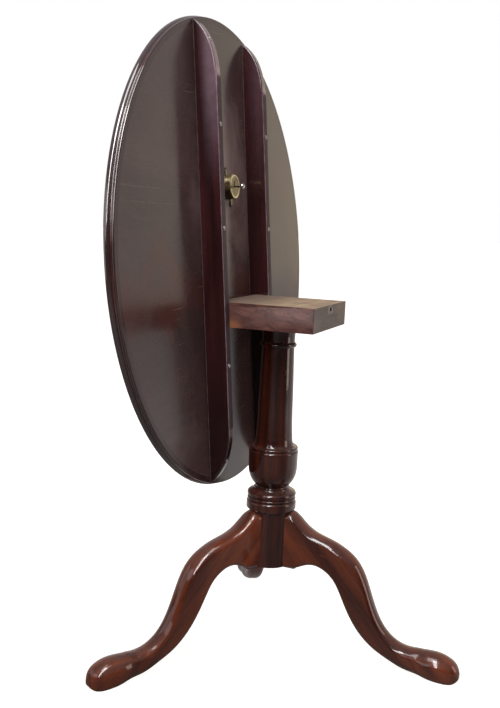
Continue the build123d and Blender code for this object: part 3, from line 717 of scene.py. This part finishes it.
def solids_of(node):
    """The points of each separate solid in a CAD node."""
    shape = bmesh.new()
    shape.from_mesh(nodes[node].data)
    bmesh.ops.remove_doubles(shape, verts=shape.verts, dist=same_point)
    left = set(shape.verts)
    found = []
    for first in shape.verts:
        if first not in left:
            continue
        left.remove(first)
        waiting = [first]
        solid = []
        while waiting:
            vertex = waiting.pop()
            solid.append(vertex.co.copy())
            for edge in vertex.link_edges:
                other = edge.other_vert(vertex)
                if other in left:
                    left.remove(other)
                    waiting.append(other)
        found.append(solid)
    shape.free()
    return found


def screw_places(node, facing):
    """The middle of each screw's head and the screw's length, from its CAD solid."""
    across = Vector((1, 0, 0)) if abs(facing.x) < 0.5 else Vector((0, 1, 0))
    other = facing.cross(across)
    places = []
    for solid in solids_of(node):
        spans = []
        for way in (across, other, facing):
            reach = [point.dot(way) for point in solid]
            spans.append((min(reach), max(reach)))
        middle = across * sum(spans[0]) / 2 + other * sum(spans[1]) / 2
        places.append((middle + facing * spans[2][1], spans[2][1] - spans[2][0]))
    return places


def screw_tree():
    """Screws for a set of points: a slotted head and a shank, each turned about its own line."""
    tree = bpy.data.node_groups.new("slotted_screws", "GeometryNodeTree")
    sockets = (
        ("Geometry", "NodeSocketGeometry"),
        ("Facing", VECTOR),
        ("Head radius", NUMBER),
        ("Shank radius", NUMBER),
        ("Rise", NUMBER),
        ("Slot width", NUMBER),
        ("Slot depth", NUMBER),
        ("Seed", "NodeSocketInt"),
        ("Finish", "NodeSocketMaterial"),
    )
    for label, kind in sockets:
        tree.interface.new_socket(label, in_out="INPUT", socket_type=kind)
    tree.interface.new_socket("Geometry", in_out="OUTPUT", socket_type="NodeSocketGeometry")
    given = add(tree, "NodeGroupInput").outputs
    out = add(tree, "NodeGroupOutput").inputs
    head = screw_head(tree, given)
    shoulder = less(tree, given["Head radius"], given["Shank radius"])
    buried = times(tree, shoulder, head_taper)
    shank = {"Vertices": 20, "Radius": given["Shank radius"], "Depth": 1.0}
    bar = add(tree, "GeometryNodeMeshCylinder", shank).outputs["Mesh"]
    hung = made(tree, "GeometryNodeTransform", {"Geometry": bar, "Translation": (0, 0, -0.5)})
    any_turn = {3: math.tau, "Seed": given["Seed"]}
    spin = add(tree, "FunctionNodeRandomValue", any_turn, data_type="FLOAT").outputs[1]
    own_turn = made(tree, "FunctionNodeAxisAngleToRotation", {"Angle": spin})
    outward = made(tree, "FunctionNodeAlignRotationToVector", {"Vector": given["Facing"]}, axis="Z")
    turns = {"Rotation": outward, "Rotate By": own_turn}
    turn = made(tree, "FunctionNodeRotateRotation", turns, rotation_space="LOCAL")
    stored = {"Name": "screw_length"}
    whole = made(tree, "GeometryNodeInputNamedAttribute", stored, data_type="FLOAT")
    long = less(tree, whole, buried)
    sizes = made(tree, "ShaderNodeCombineXYZ", {"X": 1.0, "Y": 1.0, "Z": long})
    heads = {"Points": given["Geometry"], "Instance": head, "Rotation": turn}
    shanks = {"Points": given["Geometry"], "Instance": hung, "Rotation": turn, "Scale": sizes}
    placed_heads = made(tree, "GeometryNodeInstanceOnPoints", heads)
    placed_shanks = made(tree, "GeometryNodeInstanceOnPoints", shanks)
    lower = lengthened(tree, given["Facing"], times(tree, buried, -1.0))
    drop = {"Instances": placed_shanks, "Translation": lower, "Local Space": False}
    sunk = made(tree, "GeometryNodeTranslateInstances", drop)
    both = add(tree, "GeometryNodeJoinGeometry")
    tree.links.new(placed_heads, both.inputs[0])
    tree.links.new(sunk, both.inputs[0])
    real = made(tree, "GeometryNodeRealizeInstances", {"Geometry": both.outputs[0]})
    dressed = made(tree, "GeometryNodeSetMaterial", {"Geometry": real, "Material": given["Finish"]})
    tree.links.new(dressed, out["Geometry"])
    return tree


def screw_head(tree, given):
    """A round-topped, coned head with a slot across it."""
    ball = add(tree, "GeometryNodeMeshUVSphere", {"Segments": 36, "Rings": 18, "Radius": 1.0}).outputs["Mesh"]
    place = apart(tree, made(tree, "GeometryNodeInputPosition"))
    squares = plus(tree, maths(tree, "POWER", place["X"], 2.0), maths(tree, "POWER", place["Y"], 2.0))
    radius = given["Head radius"]
    out_to = times(tree, maths(tree, "SQRT", squares), radius)
    cone = less(tree, radius, out_to)
    cone = maths(tree, "MINIMUM", cone, less(tree, radius, given["Shank radius"]))
    above = maths(tree, "GREATER_THAN", place["Z"], 0.0001)
    below = less(tree, 1.0, above)
    top = times(tree, times(tree, place["Z"], given["Rise"]), above)
    height = less(tree, top, times(tree, cone, below))
    moved = {
        "X": times(tree, place["X"], radius),
        "Y": times(tree, place["Y"], radius),
        "Z": height,
    }
    spot = made(tree, "ShaderNodeCombineXYZ", moved)
    domed = made(tree, "GeometryNodeSetPosition", {"Geometry": ball, "Position": spot})
    cut_size = {
        "X": times(tree, radius, 2.6),
        "Y": given["Slot width"],
        "Z": times(tree, given["Slot depth"], 2.0),
    }
    cut = made(tree, "ShaderNodeCombineXYZ", cut_size)
    bar = add(tree, "GeometryNodeMeshCube", {"Size": cut}).outputs["Mesh"]
    up = made(tree, "ShaderNodeCombineXYZ", {"Z": given["Rise"]})
    raised = made(tree, "GeometryNodeTransform", {"Geometry": bar, "Translation": up})
    slotted = add(tree, "GeometryNodeMeshBoolean", {0: domed}, operation="DIFFERENCE", solver="EXACT")
    tree.links.new(raised, slotted.inputs[1])
    return slotted.outputs[0]


def set_screws(node, facing, rise, finish):
    """Put screws in place of a CAD node's."""
    ware = bpy.context.scene.table.hardware
    body, head_radius, shank_radius = screws[node]
    places = screw_places(node, facing)
    mesh = bpy.data.meshes.new(node + "_heads")
    mesh.from_pydata([place for place, size in places], [], [])
    lengths = mesh.attributes.new("screw_length", "FLOAT", "POINT")
    for index, (place, size) in enumerate(places):
        lengths.data[index].value = size
    piece = bpy.data.objects.new(node + "_slotted", mesh)
    bpy.context.scene.collection.objects.link(piece)
    tree = bpy.data.node_groups.get("slotted_screws") or screw_tree()
    modifier = piece.modifiers.new("screws", "NODES")
    modifier.node_group = tree
    values = {
        "Facing": tuple(facing),
        "Head radius": head_radius,
        "Shank radius": shank_radius,
        "Rise": rise,
        "Slot width": ware.slot_width,
        "Slot depth": ware.slot_depth,
        "Seed": ware.seed,
        "Finish": finish,
    }
    for socket in tree.interface.items_tree:
        if socket.in_out == "INPUT" and socket.name in values:
            modifier[socket.identifier] = values[socket.name]
    applied(piece)
    stand_for(piece, node, body)


# ---------------------------------------------------------------- operators
class TABLE_OT_effects(bpy.types.Operator):
    """Build the shared grain, wear, dust and scratch groups"""

    bl_idname = "table.effects"
    bl_label = "Shared effects"

    def execute(self, context):
        mahogany_group()
        wear_group()
        dust_group()
        scratch_group()
        return {"FINISHED"}


class TABLE_OT_board(bpy.types.Operator):
    """Finish the round top"""

    bl_idname = "table.board"
    bl_label = "Round top"

    def execute(self, context):
        dress(board_wood(), "tabletop")
        return {"FINISHED"}


class TABLE_OT_bearers(bpy.types.Operator):
    """Finish the two bearers"""

    bl_idname = "table.bearers"
    bl_label = "Bearers"

    def execute(self, context):
        wood = context.scene.table.wood
        along_board = board_turn.to_matrix() @ Matrix.Rotation(math.radians(90), 3, "Z")
        tones = (wood.bearer_dark, wood.bearer_light)
        turn = along_board.to_euler()
        material = polished_wood("bearer_mahogany", *tones, turn, hinge, 0.035, 0.25, extra=bearer_painted_light)
        dress(material, "bearer_right", "bearer_left")
        return {"FINISHED"}


class TABLE_OT_block(bpy.types.Operator):
    """Make the block with its worn edges"""

    bl_idname = "table.block"
    bl_label = "Block"

    def execute(self, context):
        piece = merged_copy("block", "worn_block")
        self.mark_edges(piece.data)
        bevel = piece.modifiers.new("wear", "BEVEL")
        bevel.limit_method = "WEIGHT"
        bevel.width = context.scene.table.wood.worn_edge
        bevel.segments = 3
        bevel.harden_normals = True
        applied(piece)
        piece.data.materials.append(block_wood())
        stand_for(piece, "block", "stand")
        return {"FINISHED"}

    def mark_edges(self, mesh):
        """Cut the block's outer edges into short runs, and say how worn each is."""
        shape = bmesh.new()
        shape.from_mesh(mesh)
        outer = [edge for edge in shape.edges if self.on_corner(edge)]
        for edge in outer:
            runs = int(edge.calc_length() / wear_run)
            if runs > 1:
                bmesh.ops.subdivide_edges(shape, edges=[edge], cuts=runs - 1)
        weight = shape.edges.layers.float.get("bevel_weight_edge")
        weight = weight or shape.edges.layers.float.new("bevel_weight_edge")
        for edge in shape.edges:
            edge.smooth = edge.is_manifold and edge.calc_face_angle() < crease
            if self.on_corner(edge):
                middle = (edge.verts[0].co + edge.verts[1].co) / 2
                edge[weight] = 0.55 + 0.45 * noise.noise(middle * 90)
        for face in shape.faces:
            face.smooth = True
        shape.to_mesh(mesh)
        shape.free()

    def on_corner(self, edge):
        """True where an edge lies on two outer faces of the block at once."""
        shared = 0
        for axis in range(3):
            for side in (block_low[axis], block_high[axis]):
                if all(abs(vertex.co[axis] - side) < corner_slack for vertex in edge.verts):
                    shared += 1
        return shared >= 2


class TABLE_OT_column(bpy.types.Operator):
    """Finish the turned column, its wedge and the pintles"""

    bl_idname = "table.column"
    bl_label = "Column"

    def execute(self, context):
        wood = context.scene.table.wood
        upright = Euler((0, math.radians(-90), 0))
        tones = (wood.column_dark, wood.column_light)
        pith = (0.02, 0.01, 0)
        column = polished_wood("column_mahogany", *tones, upright, pith, 0.045, 0.25, raw_end=tenon_end)
        dress(column, "column")
        tones = (wood.column_dark, wood.block_light)
        pin = polished_wood("pin_wood", *tones, (0, 0, 0), (0, 0, 0), 0.01, 0.8, raw_end=tenon_end)
        dress(pin, "pintle_right", "pintle_left", "tenon_wedge")
        return {"FINISHED"}


class TABLE_OT_legs(bpy.types.Operator):
    """Finish the three legs, each with its grain along its own slant"""

    bl_idname = "table.legs"
    bl_label = "Legs"

    def execute(self, context):
        wood = context.scene.table.wood
        for name in ("leg_strike_side", "leg_right", "leg_left"):
            foot = floor_place[name.replace("leg", "foot")]
            turn = math.atan2(foot.y, foot.x)
            slant = Euler((0, leg_slant, turn))
            tones = (wood.leg_dark, wood.leg_light)
            dress(polished_wood(name + "_mahogany", *tones, slant, foot / 2, 0.060, 0.30), name)
        return {"FINISHED"}


class TABLE_OT_hardware(bpy.types.Operator):
    """Finish the catch, the strike plate, the iron plate and the screws"""

    bl_idname = "table.hardware"
    bl_label = "Hardware"

    def execute(self, context):
        ware = context.scene.table.hardware
        brass = metal("old_brass", ware.brass, ware.tarnish, 0.30, 0.25, 0.60)
        dress(case_brass(), "catch_case")
        dress(brass, "catch_back", "catch_bolt")
        dress(metal("strike_brass", [0.32, 0.27, 0.26], [0.09, 0.07, 0.06], 0.34, 0.40, 0.70), "strike_plate")
        steel = metal("screw_steel", ware.steel, [0.10, 0.07, 0.05], 0.30, 0.50, 0.80, scale=400.0)
        set_screws("bearer_screws", -out_of_board, ware.round_rise, steel)
        set_screws("catch_screws", -out_of_board, ware.flush_rise, steel)
        set_screws("strike_screws", Vector((0, 1, 0)), ware.flush_rise, steel)
        set_screws("plate_screws", Vector((0, 0, -1)), ware.flush_rise, steel)
        dress(metal("black_iron", ware.iron, ware.rust, 0.55, 0.45, 0.65, 0.5, 0.8, 70.0), "tripod_plate")
        self.spring(metal("spring_steel", ware.steel, ware.iron, 0.30, 0.55, 0.80))
        dress(metal("knob_plating", ware.knob, ware.tarnish, 0.12, 0.62, 0.90), "catch_knob")
        dress(metal("blackened_steel", ware.iron, ware.tarnish, 0.35, 0.45, 0.70), "catch_stem")
        return {"FINISHED"}

    def spring(self, finish):
        """The coil spring behind the bolt, carried by the top."""
        spring = merged_copy("catch_spring", "coil_spring")
        spring.data.shade_smooth()
        spring.data.materials.append(finish)
        stand_for(spring, "catch_spring", "top")
        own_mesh(spring)


def soft_light(name, place, aim, across, up, watts, tint):
    """A rectangular light that faces a point, and that the camera doesn't see."""
    data = bpy.data.lights.new(name, "AREA")
    data.shape = "RECTANGLE"
    data.size = across
    data.size_y = up
    data.energy = watts
    data.color = tint
    light = bpy.data.objects.new(name, data)
    light.visible_camera = False
    away = (Vector(aim) - Vector(place)).normalized()
    side = away.cross(Vector((0, 0, 1))) if abs(away.z) < nearly_upright else Vector((1, 0, 0))
    up_side = side.cross(away).normalized()
    side = away.cross(up_side).normalized()
    light.matrix_world = Matrix.Translation(place) @ Matrix((side, up_side, -away)).transposed().to_4x4()
    bpy.context.scene.collection.objects.link(light)


class TABLE_OT_studio(bpy.types.Operator):
    """Lay the floor and set up the lights and the camera"""

    bl_idname = "table.studio"
    bl_label = "Studio"

    def execute(self, context):
        studio = context.scene.table.studio
        self.floor()
        self.room(context, studio)
        lights = (
            ("overhead_light", (0.75, 0.1, 2.3), (0, 0, 0.5), 1.1, 0.8, studio.overhead, (1, 1, 1)),
            ("strip_light", (2.9, 0.25, 2.4), (2.6, 0.2, 0), 4.0, 0.5, studio.strip, (1, 1, 1)),
            ("window_light", (1.3, -2.4, 1.0), (0.4, -0.1, 0.75), 2.2, 1.4, studio.window, (1, 1, 1)),
            ("back_wall_light", (-0.4, 2.6, 0.9), (0, 0, 0.5), 0.8, 1.6, studio.back_wall, (1, 0.78, 0.66)),
            ("front_light", (3.05, -1.41, 1.77), (0, 0, 1), 2.0, 1.2, studio.front, (1, 0.88, 0.93)),
        )
        for light in lights:
            soft_light(*light)
        self.camera(context, studio)
        context.scene.view_settings.view_transform = "Standard"
        return {"FINISHED"}

    def floor(self):
        """A pale floor, lifted to white where the camera sees it directly."""
        bpy.ops.mesh.primitive_circle_add(vertices=96, radius=60, fill_type="NGON")
        floor = bpy.context.object
        floor.name = "pale_floor"
        material = bpy.data.materials.new("pale_floor")
        material.use_nodes = True
        tree = material.node_tree
        shader = tree.nodes["Principled BSDF"]
        across = add(tree, "ShaderNodeSeparateXYZ", {0: add(tree, "ShaderNodeTexCoord").outputs["Object"]})
        far_side = ramp(tree, across.outputs["X"], 0.4, -1.0)
        pale = mixed(tree, far_side, (0.12, 0.118, 0.115, 1), (0.85, 0.82, 0.78, 1))
        tree.links.new(pale, shader.inputs["Base Color"])
        shader.inputs["Roughness"].default_value = 0.7
        shader.inputs["Emission Color"].default_value = (1, 0.98, 0.95, 1)
        seen = add(tree, "ShaderNodeLightPath").outputs["Is Camera Ray"]
        glow = maths(tree, "MAXIMUM", times(tree, seen, 0.97), times(tree, far_side, 0.22))
        tree.links.new(glow, shader.inputs["Emission Strength"])
        floor.data.materials.append(material)

    def room(self, context, studio):
        """White where the camera sees it; in reflections, a pale backdrop and a dim room."""
        world = bpy.data.worlds.new("studio_room")
        context.scene.world = world
        world.use_nodes = True
        tree = world.node_tree
        background = tree.nodes["Background"]
        direction = add(tree, "ShaderNodeTexCoord").outputs["Generated"]
        parts = apart(tree, direction)
        behind = ramp(tree, parts["X"], 0.1, -0.75)
        walls = mixed(tree, behind, opaque(studio.dark_side), opaque(studio.backdrop))
        walls = mixed(tree, ramp(tree, parts["X"], -0.84, -0.97), walls, opaque(studio.bright_backdrop))
        lit = mixed(tree, ramp(tree, parts["Z"], 0.15, 0.75), walls, opaque(studio.ceiling))
        seen = add(tree, "ShaderNodeLightPath").outputs["Is Camera Ray"]
        shown = mixed(tree, seen, lit, (1.0, 1.0, 1.0, 1))
        tree.links.new(shown, background.inputs["Color"])

    def camera(self, context, studio):
        """Place the camera."""
        data = bpy.data.cameras.new("camera")
        data.sensor_width = 36
        data.lens = studio.lens
        data.shift_x = studio.shift_across
        data.shift_y = studio.shift_up
        camera = bpy.data.objects.new("camera", data)
        context.scene.collection.objects.link(camera)
        look = Euler((math.radians(90) - studio.camera_dip, 0, studio.camera_azimuth)).to_matrix()
        roll = Matrix.Rotation(studio.camera_roll, 3, "Z")
        camera.matrix_world = Matrix.Translation(studio.camera_place) @ (look @ roll).to_4x4()
        context.scene.camera = camera


class TABLE_PT_panel(bpy.types.Panel):
    """The table's settings and steps"""

    bl_idname = "TABLE_PT_panel"
    bl_label = "Tilt-top table"
    bl_space_type = "VIEW_3D"
    bl_region_type = "UI"
    bl_category = "Table"

    def draw(self, context):
        settings = context.scene.table
        for part in (settings.wood, settings.hardware, settings.studio):
            box = self.layout.box()
            for name in part.bl_rna.properties.keys():
                if name not in {"rna_type", "name"}:
                    box.prop(part, name)
        for step in steps:
            self.layout.operator(step.bl_idname)


steps = (
    TABLE_OT_effects,
    TABLE_OT_board,
    TABLE_OT_bearers,
    TABLE_OT_block,
    TABLE_OT_column,
    TABLE_OT_legs,
    TABLE_OT_hardware,
    TABLE_OT_studio,
)
classes = (WoodSettings, HardwareSettings, StudioSettings, TableSettings, *steps, TABLE_PT_panel)


def register():
    """Add the settings, the steps and the panel."""
    for kind in classes:
        bpy.utils.register_class(kind)
    bpy.types.Scene.table = PointerProperty(type=TableSettings, name="Table", description="Table settings")


def unregister():
    """Take them away again."""
    del bpy.types.Scene.table
    for kind in reversed(classes):
        bpy.utils.unregister_class(kind)


def main():
    """Run every step in order."""
    register()
    for step in steps:
        group, name = step.bl_idname.split(".")
        getattr(getattr(bpy.ops, group), name)()


if __name__ == "__main__":
    main()
